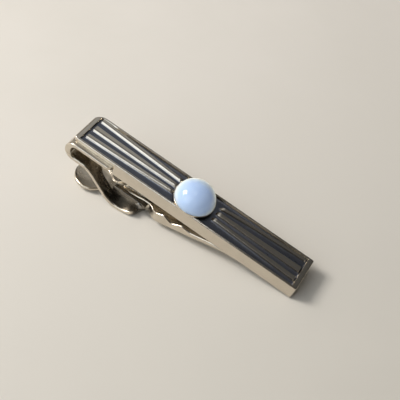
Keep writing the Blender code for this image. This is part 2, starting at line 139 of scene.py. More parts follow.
# --- clip strap ----------------------------------------------------------------------------------------
STRAP_THICKNESS = 0.83
STRAP_HALF_WIDTH = 4.05
STRAP_ROUND = 0.24
LEAF_TOP_Z = -0.94
LEAF_END_X = -15.6
LEAF_CORNER = 1.3
BEND_CENTRE = (-23.62, -3.14)
BEND_MID_RADIUS = 1.785
BEND_THICKENING = 0.42
BEND_STEPS = 28
LEG_FLAT_END_X = -20.7
LEG_CORNER_BEYOND = 0.45                    # from there to the corner that the curve into the slope rounds
LEG_CORNER_RUN = 1.1                        # how far before the corner's middle that curve starts
SLOPE_TOP = (-19.75, -5.25)
BELLY_CENTRE = (-12.2, -4.45)
BELLY_MID_RADIUS = 5.415
BELLY_FROM = -45.0
BELLY_TO = 43.0
BELLY_END_X = -8.22
BELLY_CORNER = 1.5
SLOT_START_X = -18.9
SLOT_HALF_WIDTH = 1.62
SLOT_CUT_Z = (-14.0, -3.4)                  # from and to which height each cut is made
LEAF_CUT_Z = (-2.4, 0.2)
BELLY_CUT_Z = (-14.0, -4.0)
EAR_THICKNESS = 0.83
EAR_TOP = ((-14.7, -6.35), (-7.1, -6.30))
EAR_CORNER = 0.7
EAR_EDGE_ROUND = 0.16

# --- jaw lever -----------------------------------------------------------------------------------------
SHEET = 0.5
LEVER_HALF_WIDTH = 1.55
JAW_HALF_WIDTH = 3.0
TAB_CENTRE_X = -19.95
TAB_RADIUS = 3.9
TAB_DISH = 0.36
TAB_END_X = -16.6                           # where the tab has narrowed into the neck
LEVER_TIP_X = 13.9
LEVER_CORNER = 0.25                         # radius outside, between web and flange
LEVER_FILLET = 0.18                         # radius inside
# underside of the web, from the thumb tab to the jaw's tip
WEB = (
    (-23.85, -11.55), (-22.6, -11.42), (-19.95, -11.10), (-18.4, -10.85), (-16.6, -10.50), (-15.4, -10.28),
    (-14.2, -9.78), (-13.0, -9.25), (-11.6, -9.05), (-9.6, -8.95), (-7.6, -8.50), (-5.4, -7.80),
    (-3.2, -7.38), (-0.2, -6.50), (2.8, -5.75), (4.9, -5.05), (7.9, -4.10), (9.9, -3.66), (12.0, -3.56),
    (13.9, -3.54),
)
# height of the flanges above the web's underside
FLANGE = (
    (-25.0, 0.62), (-20.4, 0.72), (-16.6, 0.70), (-15.4, 0.70), (-14.2, 1.65), (-13.0, 2.15), (-11.6, 2.45),
    (-9.9, 2.65), (-8.4, 2.75), (-7.0, 2.45), (-5.6, 2.05), (-4.4, 2.40), (-2.9, 2.75), (-1.9, 1.90),
    (-1.0, 1.42), (-0.1, 1.70), (1.0, 2.05), (2.0, 1.60), (3.1, 1.25), (5.0, 1.15), (7.0, 1.05), (9.0, 0.72),
    (11.0, 0.52), (13.9, 0.50),
)
# half width of the channel
JAW_WIDTHS = (
    (TAB_CENTRE_X, TAB_RADIUS), (-18.6, 3.62), (-17.4, 2.80), (-16.6, 2.00), (-15.9, LEVER_HALF_WIDTH),
    (-6.6, LEVER_HALF_WIDTH), (-5.4, 2.45), (-4.4, JAW_HALF_WIDTH), (9.0, JAW_HALF_WIDTH), (12.6, 2.75),
    (13.4, 2.35), (13.9, 1.7),
)

# --- pin and spring --------------------------------------------------------------------------------------
PIN_RADIUS = 0.49
PIN_HEAD_RADIUS = 0.75
PIN_HEAD_HEIGHT = 0.22
WIRE_RADIUS = 0.14
COIL_RADIUS = 0.70
COIL_TURNS = 3.5
COIL_PITCH = 0.36
COIL_STEPS = 32
LOWER_LEG = ((-13.0, -8.52), (-10.8, -8.30))        # on the lever's neck
UPPER_LEG = ((-11.0, -6.42), (-17.8, -6.92), (-19.6, -6.80))    # under the strap

GAP = 0.04                                  # from the setting to the bar, and from rivet heads to ears
SHARP_DEGREES = 32.0                        # edges steeper than this are shaded sharp

# --- colours ---------------------------------------------------------------------------------------------
BRIGHT_METAL = (0.66, 0.60, 0.51)
DULL_METAL = (0.56, 0.50, 0.42)
CLIP_METAL = (0.70, 0.64, 0.54)
CLIP_DULL = (0.52, 0.46, 0.38)
STEEL = (0.30, 0.29, 0.27)
STEEL_DULL = (0.16, 0.15, 0.13)
# painted shade: the dark laid inside the clip's belly and on its ears, for the shade and dark reflections there
INSIDE_SHADE = (0.11, 0.10, 0.085)
GROOVE_BLACK = (0.19, 0.205, 0.25)
STONE_BLUE = (0.37, 0.50, 0.74)
STONE_MILK = (0.43, 0.545, 0.74)
STONE_PALE = (0.86, 0.92, 0.93)
# painted light: a pale rim where light shines through the stone's edges, and a glow over the whole stone, though
# it is no lamp
STONE_RIM_PAINTED_LIGHT = (0.84, 0.88, 0.76)
STONE_PAINTED_GLOW = (0.44, 0.54, 0.72)
RIM_PAINTED_GLOW = (0.80, 0.78, 0.58)
CEMENT_DARK = (0.62, 0.60, 0.54)
CEMENT_LIGHT = (0.80, 0.78, 0.72)
# painted light: the table is paler far and darker near, for how the light falls on it
TABLE_LIGHT_FALLOFF = (-0.86, 0.51, 0.0)             # direction in which the table's painted light goes from shaded near to lit far
TABLE_LIT_FAR = (0.86, 0.81, 0.745)
TABLE_SHADED_NEAR = (0.64, 0.605, 0.54)
TABLE_WARM = (0.75, 0.71, 0.635)

# --- finishes --------------------------------------------------------------------------------------------
# lowest and highest roughness, and how much of the duller tone shows
BAR_FINISH = (0.10, 0.20, 0.45)
BEZEL_FINISH = (0.12, 0.22, 0.5)
STRAP_FINISH = (0.16, 0.30, 0.7)
LEVER_FINISH = (0.12, 0.26, 0.6)
STEEL_FINISH = (0.18, 0.32, 0.6)
BLACK_FROM_Z = (-0.36, -0.47)               # the field's black sets in between these heights
BLACK_TO_Z = (-0.66, -0.72)                 # and ends between these, inside the face
BLACK_ROUGHER = 0.16
INSIDE_SHADE_X = (-22.0, -14.0)                  # painted shade grows between these places along the strap and sets in between these heights, below the leaf
INSIDE_SHADE_Z = (-2.0, -2.6)                    # and sets in between these heights, below the leaf
TABLE_LIGHT_FALLOFF_REACH = 55.0                     # from the origin to either end of the table's painted light falloff

# --- camera, floor and light -----------------------------------------------------------------------------
CAMERA_AIM = (1.05, 0.45, 0.0)              # millimetres in the bar's frame
CAMERA_TURN = 21.06                         # degrees about Z, from looking along +Y
CAMERA_ELEVATION = 47.03
CAMERA_ROLL = 11.8
CAMERA_DISTANCE = 0.1471                    # metres
CAMERA_LENS = 70.75
SENSOR = 36.0
CLIP_RANGE = (0.002, 20.0)
FLOOR_HALF = 0.6                            # metres
FLOOR_GAP = 0.00002                         # metres between the floor and the part's lowest point
LIGHT_DISTANCE = 0.60                       # metres
LIGHT_TARGET = (0.0, 0.0, 0.005)
# name, direction in which it stands, width and height in metres, power in watts, colour
AREA_LIGHTS = (
    ("key", (-0.70, -0.24, 0.66), 0.20, 0.20, 2.75, (1.0, 0.975, 0.94)),
    ("window", (-0.29, -0.72, 0.63), 0.36, 0.50, 0.85, (0.80, 0.90, 1.0)),
    ("far_wall", (-0.17, 0.61, 0.78), 0.20, 0.16, 0.030, (0.90, 0.95, 1.0)),
    ("far_corner", (0.17, 0.63, 0.76), 0.18, 0.18, 0.006, (0.90, 0.95, 1.0)),
    ("ceiling_strip", (0.08, 0.0, 1.0), 0.34, 0.06, 0.16, (0.92, 0.96, 1.0)),
)
WORLD_COLOUR = (1.0, 0.955, 0.89, 1.0)
# along which axis of the direction, from and to where, and the strength at each end
WORLD_RAMPS = (("X", 0.10, -0.65, 0.09, 0.75), ("Y", 0.15, 0.45, 1.0, 0.45))


# --- mesh tools ------------------------------------------------------------------------------------------

def piece_from(name, points, faces, sharp_degrees=SHARP_DEGREES):
    """A mesh object from points in the bar's frame."""
    mesh = bpy.data.meshes.new(name)
    mesh.from_pydata([TO_WORLD @ Vector(p) for p in points], [], faces)
    mesh.validate()
    thing = bpy.data.objects.new(name, mesh)
    bpy.context.scene.collection.objects.link(thing)
    bm = bmesh.new()
    bm.from_mesh(mesh)
    bmesh.ops.recalc_face_normals(bm, faces=bm.faces)
    bm.to_mesh(mesh)
    bm.free()
    shade(thing, sharp_degrees)
    return thing


def shade(thing, sharp_degrees=SHARP_DEGREES):
    """Shade smooth, with sharp edges kept."""
    thing.data.shade_smooth()
    thing.data.set_sharp_from_angle(angle=math.radians(sharp_degrees))


def applied(thing):
    """Replace a mesh by what its modifiers make of it."""
    graph = bpy.context.evaluated_depsgraph_get()
    result = bpy.data.meshes.new_from_object(thing.evaluated_get(graph))
    thing.modifiers.clear()
    thing.data = result


def combine(target, tool, operation):
    """Cut or join, applied at once, after which the tool is removed."""
    modifier = target.modifiers.new("combine", "BOOLEAN")
    modifier.operation = operation
    modifier.solver = "EXACT"
    modifier.object = tool
    applied(target)
    bpy.data.objects.remove(tool, do_unlink=True)


def joined(target, other):
    """One object that holds both meshes. The other object is removed."""
    bm = bmesh.new()
    bm.from_mesh(target.data)
    bm.from_mesh(other.data)
    bm.to_mesh(target.data)
    bm.free()
    bpy.data.objects.remove(other, do_unlink=True)
    shade(target)
    return target


def soften(thing, width, segments, angle_degrees):
    """Round the sharp edges of a mesh, applied at once."""
    modifier = thing.modifiers.new("soften", "BEVEL")
    modifier.width = width * MM
    modifier.segments = segments
    modifier.limit_method = "ANGLE"
    modifier.angle_limit = math.radians(angle_degrees)
    modifier.use_clamp_overlap = True
    applied(thing)


def arc(centre, radius, start, end, steps):
    """Points on an arc in degrees, 0 straight down (or -Y) and positive towards +X."""
    points = []
    for i in range(steps + 1):
        angle = math.radians(start + (end - start) * i / steps)
        points.append((centre[0] + radius * math.sin(angle), centre[1] - radius * math.cos(angle)))
    return points


def offset_path(path, distance):
    """The path moved sideways to its left by a distance, mitred at its corners."""
    moved = []
    for i, point in enumerate(path):
        before = path[max(i - 1, 0)]
        after = path[min(i + 1, len(path) - 1)]
        normals = []
        for a, b in ((before, point), (point, after)):
            length = math.hypot(b[0] - a[0], b[1] - a[1])
            if length > 1e-9:
                normals.append((-(b[1] - a[1]) / length, (b[0] - a[0]) / length))
        nx = sum(n[0] for n in normals) / len(normals)
        nz = sum(n[1] for n in normals) / len(normals)
        scale = distance / (nx * nx + nz * nz)
        moved.append((point[0] + nx * scale, point[1] + nz * scale))
    return moved


def between(table, x):
    """Straight-line reading of a table of (x, value) rows."""
    if x <= table[0][0]:
        return table[0][1]
    for (x0, v0), (x1, v1) in zip(table, table[1:]):
        if x <= x1:
            return v0 + (v1 - v0) * (x - x0) / (x1 - x0)
    return table[-1][1]


def rounded_between(table, x, reach):
    """The same reading with its corners rounded over a reach to each side."""
    taps = 9
    total = 0.0
    weight = 0.0
    for i in range(taps):
        t = 2 * i / (taps - 1) - 1
        w = 1 - t * t + 0.05
        total += w * between(table, x + reach * t)
        weight += w
    return total / weight


def lofted(name, rings, sharp_degrees=SHARP_DEGREES):
    """A closed solid through rings of equally many points, capped at both ends."""
    count = len(rings[0])
    points = [point for ring in rings for point in ring]
    faces = [tuple(range(count))[::-1], tuple(range(len(points) - count, len(points)))]
    for row in range(len(rings) - 1):
        for i in range(count):
            j = (i + 1) % count
            base = row * count
            faces.append((base + i, base + j, base + count + j, base + count + i))
    return piece_from(name, points, faces, sharp_degrees)


def prism(name, outline, low, high, axis):
    """An outline pushed along an axis: 'y' takes (x, z) points, 'z' takes (x, y) points."""
    if axis == "y":
        rings = [[(x, level, z) for x, z in outline] for level in (low, high)]
    else:
        rings = [[(x, y, level) for x, y in outline] for level in (low, high)]
    return lofted(name, rings)


def turned(name, profile, sides, centre, sharp_degrees=SHARP_DEGREES):
    """A profile of (radius, z) from the axis round and back to the axis, turned about Z."""
    points = []
    faces = []
    rows = []
    for radius, z in profile:
        if radius < 1e-6:
            rows.append([len(points)] * sides)
            points.append((centre[0], centre[1], z))
            continue
        rows.append([len(points) + i for i in range(sides)])
        for i in range(sides):
            angle = 2 * math.pi * i / sides
            points.append((centre[0] + radius * math.cos(angle), centre[1] + radius * math.sin(angle), z))
    for low, high in zip(rows, rows[1:]):
        for i in range(sides):
            j = (i + 1) % sides
            face = []
            for corner in (low[i], low[j], high[j], high[i]):
                if corner not in face:
                    face.append(corner)
            if len(face) > 2:
                faces.append(tuple(face))
    return piece_from(name, points, faces, sharp_degrees)


def ease(t):
    """0 to 1 with a level start and end."""
    t = min(max(t, 0.0), 1.0)
    return t * t * (3 - 2 * t)


# --- bar -------------------------------------------------------------------------------------------------

def bar_half_width(x, side):
    """Half width of the bar at x, with its round corners. The far side is 1 and the near side -1."""
    half = BAR_LENGTH / 2
    if x < 0:
        corner = CORNER_LEFT_FAR if side > 0 else CORNER_LEFT_NEAR
    else:
        corner = CORNER_RIGHT
    into = half - abs(x)
    if into >= corner:
        return BAR_WIDTH / 2
    return BAR_WIDTH / 2 - corner + math.sqrt(max(corner ** 2 - (corner - into) ** 2, 0.0))


def near_run(x):
    """How far a rib's near side reaches across the bar at x."""
    return RIB_NEAR_RUN_LEFT if x < 0 else RIB_NEAR_RUN_RIGHT


def rib_edges(x):
    """Near and far edge of each rib's top at x, from near to far, and how high the ribs stand there."""
    ribs, (inner_x, outer_x) = (RIBS_LEFT, RIB_LEFT_X) if x < 0 else (RIBS_RIGHT, RIB_RIGHT_X)
    along = min(max((x - inner_x) / (outer_x - inner_x), 0.0), 1.0)
    beside_stone = abs(x) - abs(inner_x)
    height = ease(beside_stone / RIB_RISE) * ease((abs(outer_x) - abs(x)) / RIB_FALL)
    edges = []
    for inner, outer, spread in reversed(ribs):
        share = along ** spread
        far, near = (a + (b - a) * share for a, b in zip(inner, outer))
        from_nose = min(max(beside_stone / RIB_NOSE, 0.0), 1.0)
        nose = 0.5 * (far - near) * (1 - math.sqrt(1 - (1 - from_nose) ** 2))
        edges.append((near + nose, far - nose))
    return edges, height


def face_height(x, y):
    """Height of the bar's top surface inside its rim."""
    inner = BAR_WIDTH / 2 - RIM_SIDE
    half = BAR_LENGTH / 2
    into_field = min(inner - abs(y), half - RIM_END - abs(x))
    floor = -FIELD_DEPTH * ease(into_field / RIM_SLOPE)
    edges, height = rib_edges(x)
    rib = 0.0
    for near, far in edges:
        if y < near:
            part = ease(1 - (near - y) / near_run(x))
        elif y > far:
            part = ease(1 - (y - far) / RIB_FAR_RUN)
        else:
            part = 1.0
        rib = max(rib, part * height)
    if floor >= -RIB_CREST:
        return floor
    return floor + (-RIB_CREST - floor) * rib


def across_lines(x):
    """Places across the bar where the face's grid has a line at x, from the near rim to the far one."""
    inner = BAR_WIDTH / 2 - RIM_SIDE
    lines = [-inner, -inner + RIM_SLOPE * 0.33, -inner + RIM_SLOPE * 0.67, -inner + RIM_SLOPE]
    edges, _ = rib_edges(x)
    for near, far in edges:
        last = lines[-1]
        foot = max(near - near_run(x), last + 0.01)
        lines += [last + (foot - last) * t for t in (0.33, 0.67, 1.0)]
        lines += [foot + (near - foot) * t for t in (0.17, 0.33, 0.5, 0.67, 0.83, 1.0)]
        top = min(far, inner - RIM_SLOPE - 0.03)
        lines += [near + (top - near) * t for t in (0.33, 0.67, 1.0)]
        end = min(far + RIB_FAR_RUN, inner - RIM_SLOPE - 0.01)
        end = max(end, top + 0.01)
        lines += [top + (end - top) * t for t in (0.25, 0.5, 0.75, 1.0)]
    last = lines[-1]
    wall = max(inner - RIM_SLOPE, last + 0.005)
    lines += [last + (wall - last) * t for t in (0.5, 1.0)]
    lines += [wall + (inner - wall) * t for t in (0.33, 0.67, 1.0)]
    return lines


def along_stations():
    """Places along the bar where the face's grid has a row."""
    half = BAR_LENGTH / 2
    places = set()
    for side in (-1, 1):
        edge = END_ROUND_LEFT if side < 0 else RIM_ROUND
        for i in range(9):
            share = 1 - math.cos(math.pi / 2 * i / 8)
            places.add(round(side * (half - edge * share), 4))
            places.add(round(side * (half - CORNER_LEFT_FAR * share), 4))
        for i in range(7):
            places.add(round(side * (half - RIM_END - RIM_SLOPE * i / 6), 4))
        outer = abs(RIB_LEFT_X[1]) if side < 0 else RIB_RIGHT_X[1]
        inner = abs(RIB_LEFT_X[0]) if side < 0 else RIB_RIGHT_X[0]
        for i in range(5):
            places.add(round(side * (outer - RIB_FALL * i / 4), 4))
        for i in range(13):
            places.add(round(side * (inner + RIB_NOSE * i / 12), 4))
        steps = 40
        for i in range(1, steps):
            run = (outer - RIB_FALL - inner - RIB_NOSE) * i / steps
            places.add(round(side * (inner + RIB_NOSE + run), 4))
        for i in range(5):
            places.add(round(side * inner * i / 5, 4))
    ordered = sorted(places)
    kept = [ordered[0]]
    for place in ordered[1:-1]:
        if place - kept[-1] > 0.012 and ordered[-1] - place > 0.012:
            kept.append(place)
    return kept + [ordered[-1]]


def rim_fall(distance, radius):
    """How far a rounded outer edge lies below the rim's top, at a distance from the edge."""
    if distance >= radius:
        return 0.0
    return radius - math.sqrt(max(radius ** 2 - (radius - distance) ** 2, 0.0))


def face_rows():
    """Rows of points over the bar's face, each from its near edge to its far one."""
    half = BAR_LENGTH / 2
    inner = BAR_WIDTH / 2 - RIM_SIDE
    edge_steps = 6
    side_runs = [RIM_ROUND * (1 - math.cos(math.pi / 2 * i / edge_steps)) for i in range(edge_steps + 1)]
    rows = []
    for x in along_stations():
        near = bar_half_width(x, -1)
        far = bar_half_width(x, 1)
        end_fall = rim_fall(half - abs(x), END_ROUND_LEFT if x < 0 else RIM_ROUND)
        row = []
        for run in side_runs:
            fall = max(rim_fall(run, RIM_ROUND), end_fall)
            row.append((x, -near + run, -fall))
        for y in across_lines(x):
            z = face_height(x, y) - end_fall
            room = far if y > 0 else near
            row.append((x, y * min((room - RIM_SIDE) / inner, 1.0), z))
        for run in reversed(side_runs):
            fall = max(rim_fall(run, RIM_ROUND), end_fall)
            row.append((x, far - run, -fall))
        rows.append(row)
    return rows


def slab(name, rows, bottom):
    """A closed slab under rows of points, with one flat face below."""
    count = len(rows[0])
    last = len(rows) - 1
    points = [point for row in rows for point in row]
    faces = []
    for r in range(last):
        for i in range(count - 1):
            a = r * count + i
            faces.append((a, a + count, a + count + 1, a + 1))
    border = list(range(count))
    border += [r * count + count - 1 for r in range(1, last + 1)]
    border += [last * count + i for i in range(count - 2, -1, -1)]
    border += [r * count for r in range(last - 1, 0, -1)]
    start = len(points)
    points += [(points[i][0], points[i][1], bottom) for i in border]
    for k, i in enumerate(border):
        m = (k + 1) % len(border)
        faces.append((i, border[m], start + m, start + k))
    faces.append(tuple(range(start, start + len(border))))
    return piece_from(name, points, faces)


def wall_path():
    """Middle line of the bar's side walls, from the notch round the right end to the left end."""
    middle = SKIRT_INSET + WALL / 2
    side = BAR_WIDTH / 2 - middle
    end = BAR_LENGTH / 2 - middle
    round_right = CORNER_RIGHT - middle
    round_left = CORNER_LEFT_FAR - middle
    path = [(NOTCH_X, -side)]
    path += arc((end - round_right, -side + round_right), round_right, 0.0, 90.0, 8)
    path += arc((end - round_right, side - round_right), round_right, 90.0, 180.0, 8)
    path += arc((-end + round_left, side - round_left), round_left, 180.0, WALL_END_ANGLE, 12)
    return path


def make_bar():
    """The face with its rim and ribs, and the side walls that stand down from it."""
    bar = slab("bar_shell_fine", face_rows(), -FACE_THICKNESS)
    path = wall_path()
    foot = WALL_FOOT_ROUND
    angles = (0.0, 0.4, 0.8, 1.2, math.pi / 2)
    top = -FIELD_DEPTH - WALL_OVERLAP
    outer_foot = [(-WALL / 2 + foot * (1 - math.cos(a)), -BAR_HEIGHT + foot * (1 - math.sin(a)))
                  for a in angles]
    inner_foot = [(-across, z) for across, z in reversed(outer_foot)]
    section = [(-WALL / 2, top)] + outer_foot + inner_foot + [(WALL / 2, top)]
    lines = {across: offset_path(path, across) for across, _ in section}
    rings = [[(*lines[across][i], z) for across, z in section] for i in range(len(path))]
    return joined(bar, lofted("walls", rings))


# --- stone and setting -----------------------------------------------------------------------------------

def make_stone():
    """A domed stone with a flat back and a thin straight girdle."""
    girdle = STONE_BASE_Z + STONE_GIRDLE
    top = STONE_BASE_Z + STONE_HEIGHT
    base = STONE_BASE_Z
    profile = [(0.0, base), (1.5, base), (3.0, base), (3.80, base), (3.92, base + 0.02), (3.98, base + 0.08)]
    profile.append((STONE_RADIUS, girdle))
    steps = 40
    for i in range(1, steps):
        angle = math.pi / 2 * i / steps
        profile.append((STONE_RADIUS * math.cos(angle) ** 0.97, girdle + (top - girdle) * math.sin(angle)))
    profile.append((0.0, top))
    return turned("cabochon_fine", profile, 128, STONE_CENTRE, 60.0)


def make_bezel():
    """The round cup under the stone, on its stem, with a rounded lip."""
    low, floor = BEZEL_FLOOR
    inside = BEZEL_RADIUS - BEZEL_WALL
    lip = BEZEL_WALL / 2
    foot = -FIELD_DEPTH + GAP
    profile = [(0.0, foot), (BEZEL_STEM_RADIUS - 0.1, foot), (BEZEL_STEM_RADIUS, foot + 0.1)]
    profile += [(BEZEL_STEM_RADIUS, low), (BEZEL_RADIUS - 0.03, low), (BEZEL_RADIUS, low + 0.03)]
    for i in range(9):
        angle = math.pi * i / 8
        profile.append((inside + lip + lip * math.cos(angle), BEZEL_TOP_Z - lip + lip * math.sin(angle)))
    profile += [(inside, floor), (0.0, floor)]
    return turned("bezel_cup_fine", profile, 128, STONE_CENTRE)


# --- clip strap --------------------------------------------------------------------------------------------

def strap_path():
    """Middle line of the strap in X and Z: leaf, U bend, leg, slope and belly."""
    leaf_z = LEAF_TOP_Z - STRAP_THICKNESS / 2
    path = [(LEAF_END_X, leaf_z)]
    path += arc(BEND_CENTRE, BEND_MID_RADIUS, 180.0, 360.0, BEND_STEPS)
    flat_z = BEND_CENTRE[1] - BEND_MID_RADIUS
    corner = (LEG_FLAT_END_X + LEG_CORNER_BEYOND, flat_z)
    first = Vector(((SLOPE_TOP[0] + corner[0]) / 2 - LEG_CORNER_RUN, flat_z))
    belly = arc(BELLY_CENTRE, BELLY_MID_RADIUS, BELLY_FROM, BELLY_TO, 40)
    last = Vector(SLOPE_TOP) + (Vector(belly[0]) - Vector(SLOPE_TOP)) * 0.25
    for i in range(9):
        t = i / 8
        point = first * (1 - t) ** 2 + Vector(corner) * 2 * t * (1 - t) + last * t ** 2
        path.append(tuple(point))
    return path + belly


def rounded_section(low, high, thickness, radius):
    """Outline of a strip's cross-section with round edges, as (across, through), 0 through in mid-sheet."""
    half = thickness / 2
    points = []
    for cy, cz, start in ((high - radius, half - radius, 0.0), (low + radius, half - radius, 90.0),
                          (low + radius, -half + radius, 180.0), (high - radius, -half + radius, 270.0)):
        for i in range(5):
            angle = math.radians(start + 90.0 * i / 4)
            points.append((cy + radius * math.cos(angle), cz + radius * math.sin(angle)))
    return points


def corner_outline(end_x, radius, side):
    """The spandrel cut off one corner of the strap, at an end that faces +X."""
    edge = CLIP_Y + side * STRAP_HALF_WIDTH
    centre = (end_x - radius, edge - side * radius)
    points = []
    for i in range(13):
        angle = math.radians(90.0 * i / 12)
        points.append((centre[0] + radius * math.sin(angle), centre[1] + side * radius * math.cos(angle)))
    return points + [(end_x + 1.0, centre[1]), (end_x + 1.0, edge + side), (centre[0], edge + side)]


def ear_outline():
    """Side view of an ear: it stands on the belly, beside the slot."""
    (left_x, left_z), (right_x, right_z) = EAR_TOP
    lower = arc(BELLY_CENTRE, BELLY_MID_RADIUS, -24.0, 38.0, 16)
    corner = EAR_CORNER
    left = arc((left_x + corner, left_z - corner), corner, 180.0, 270.0, 8)
    right = arc((right_x - corner, right_z - corner), corner, 90.0, 180.0, 8)
    return right + left + lower


def make_strap():
    """The bent strip, with its slot cut and its ears standing beside the slot."""
    low = CLIP_Y - STRAP_HALF_WIDTH
    high = CLIP_Y + STRAP_HALF_WIDTH
    path = strap_path()
    section = rounded_section(low, high, STRAP_THICKNESS, STRAP_ROUND)
    depths = {through for _, through in section}
    lines = {through: offset_path(path, through) for through in depths}
    rings = []
    for i in range(len(path)):
        ring = []
        for across, through in section:
            x, z = lines[through][i]
            if 1 <= i <= BEND_STEPS + 1:
                x += BEND_THICKENING * max(through / (STRAP_THICKNESS / 2), 0.0)
            ring.append((x, across, z))
        rings.append(ring)
    strap = lofted("clip_strap_fine", rings)
    slot = [(0.0, CLIP_Y - SLOT_HALF_WIDTH)]
    slot += arc((SLOT_START_X + SLOT_HALF_WIDTH, CLIP_Y), SLOT_HALF_WIDTH, 0.0, -180.0, 24)
    slot += [(0.0, CLIP_Y + SLOT_HALF_WIDTH)]
    combine(strap, prism("slot", slot, *SLOT_CUT_Z, "z"), "DIFFERENCE")
    for side in (-1, 1):
        leaf_corner = corner_outline(LEAF_END_X, LEAF_CORNER, side)
        combine(strap, prism("corner", leaf_corner, *LEAF_CUT_Z, "z"), "DIFFERENCE")
        belly_corner = corner_outline(BELLY_END_X, BELLY_CORNER, side)
        combine(strap, prism("corner", belly_corner, *BELLY_CUT_Z, "z"), "DIFFERENCE")
        inner = CLIP_Y + side * SLOT_HALF_WIDTH
        levels = sorted((inner + side * 0.01, inner + side * EAR_THICKNESS))
        ear = prism("ear", ear_outline(), levels[0], levels[1], "y")
        soften(ear, EAR_EDGE_ROUND, 3, 40.0)
        combine(strap, ear, "UNION")
    shade(strap)
    return strap


# --- jaw lever ---------------------------------------------------------------------------------------------

def lever_half_width(x):
    """Half width of the lever at x: the round tab, then the neck and the jaw."""
    if x < TAB_CENTRE_X:
        return max(math.sqrt(max(TAB_RADIUS ** 2 - (x - TAB_CENTRE_X) ** 2, 0.0)), 0.35)
    if x <= TAB_CENTRE_X + 0.5:
        return between(JAW_WIDTHS, x)
    return rounded_between(JAW_WIDTHS, x, 0.5 if x < -14.0 else 0.35)


def lever_ring(x):
    """Cross-section of the lever's channel at x: outer corners, rounded lips and inner fillets."""
    z = rounded_between(WEB, x, 0.8)
    half = lever_half_width(x)
    flange = max(rounded_between(FLANGE, x, 0.3), SHEET + 0.04)
    wall = min(SHEET, half * 0.45)
    inner = half - wall
    corner = min(LEVER_CORNER, half * 0.4)
    lip = wall / 2
    fillet = min(LEVER_FILLET, (flange - SHEET) * 0.8, inner * 0.5)
    right = []
    for i in range(5):
        angle = math.radians(90.0 * i / 4)
        right.append((half - corner + corner * math.sin(angle), corner - corner * math.cos(angle)))
    lip_z = max(flange - lip, corner + 0.01)
    for i in range(7):
        angle = math.radians(180.0 * i / 6)
        right.append((inner + lip + lip * math.cos(angle), lip_z + (flange - lip_z) * math.sin(angle)))
    for i in range(4):
        angle = math.radians(90.0 * i / 3)
        right.append((inner - fillet + fillet * math.cos(angle), SHEET + fillet - fillet * math.sin(angle)))
    floor_edge = inner - fillet
    for i in range(1, 8):
        y = floor_edge * (1 - i / 7.5)
        from_middle = math.hypot(x - TAB_CENTRE_X, y) / (TAB_RADIUS - 0.3)
        dish = TAB_DISH * max(1 - from_middle ** 2, 0.0) * ease((TAB_END_X - x) / 1.5)
        right.append((y, SHEET - dish))
    left = [(-y, up) for y, up in reversed(right)]
    return [(x, CLIP_Y + y, z + up) for y, up in right + left]


def lever_stations():
    """Places along the lever where it has a ring, closest at the tab's round end."""
    places = []
    steps = 22
    for i in range(steps + 1):
        angle = math.pi / 2 * i / steps
        places.append(TAB_CENTRE_X - TAB_RADIUS * math.cos(angle) * 0.997)
    count = 190
    for i in range(1, count + 1):
        places.append(TAB_CENTRE_X + (LEVER_TIP_X - TAB_CENTRE_X) * i / count)
    return places


def make_lever():
    return lofted("jaw_lever_fine", [lever_ring(x) for x in lever_stations()], 40.0)


# --- pin and spring ----------------------------------------------------------------------------------------

def make_pin():
    """The rivet, with a domed head outside each ear."""
    face = SLOT_HALF_WIDTH + EAR_THICKNESS + GAP
    half = []
    for i in range(6):
        angle = math.radians(90.0 * i / 5)
        half.append((face + 0.05 + (PIN_HEAD_HEIGHT - 0.05) * math.cos(angle),
                     max(PIN_HEAD_RADIUS * math.sin(angle), 0.02)))
    half += [(face, PIN_HEAD_RADIUS - 0.03), (face, PIN_RADIUS)]
    stations = [(-y, r) for y, r in half] + [(y, r) for y, r in reversed(half)]
    sides = 48
    rings = []
    for y, radius in stations:
        rings.append([(PIVOT[0] + radius * math.sin(2 * math.pi * i / sides), CLIP_Y + y,
                       PIVOT[1] + radius * math.cos(2 * math.pi * i / sides)) for i in range(sides)])
    return lofted("hinge_pin_fine", rings)


def make_spring():
    """Round wire: a leg on the lever's neck, the coil round the pin, a leg under the strap."""
    start = -COIL_TURNS * COIL_PITCH / 2
    route = [(x, start, z) for x, z in LOWER_LEG]
    for i in range(round(COIL_TURNS * COIL_STEPS) + 1):
        angle = 2 * math.pi * (0.75 + i / COIL_STEPS)
        route.append((PIVOT[0] + COIL_RADIUS * math.cos(angle), start + COIL_PITCH * i / COIL_STEPS,
                      PIVOT[1] + COIL_RADIUS * math.sin(angle)))
    route += [(x, -start, z) for x, z in UPPER_LEG]
    curve = bpy.data.curves.new("torsion_spring_fine", "CURVE")
    curve.dimensions = "3D"
    curve.bevel_depth = WIRE_RADIUS * MM
    curve.bevel_resolution = 3
    curve.use_fill_caps = True
    spline = curve.splines.new("POLY")
    spline.points.add(len(route) - 1)
    for point, (x, y, z) in zip(spline.points, route):
        place = TO_WORLD @ Vector((x, CLIP_Y + y, z))
        point.co = (*place, 1.0)
    wire = bpy.data.objects.new("wire", curve)
    bpy.context.scene.collection.objects.link(wire)
    graph = bpy.context.evaluated_depsgraph_get()
    mesh = bpy.data.meshes.new_from_object(wire.evaluated_get(graph))
    thing = bpy.data.objects.new("torsion_spring_fine", mesh)
    bpy.context.scene.collection.objects.link(thing)
    bpy.data.objects.remove(wire, do_unlink=True)
    shade(thing, 60.0)
    return thing


# --- materials ---------------------------------------------------------------------------------------------

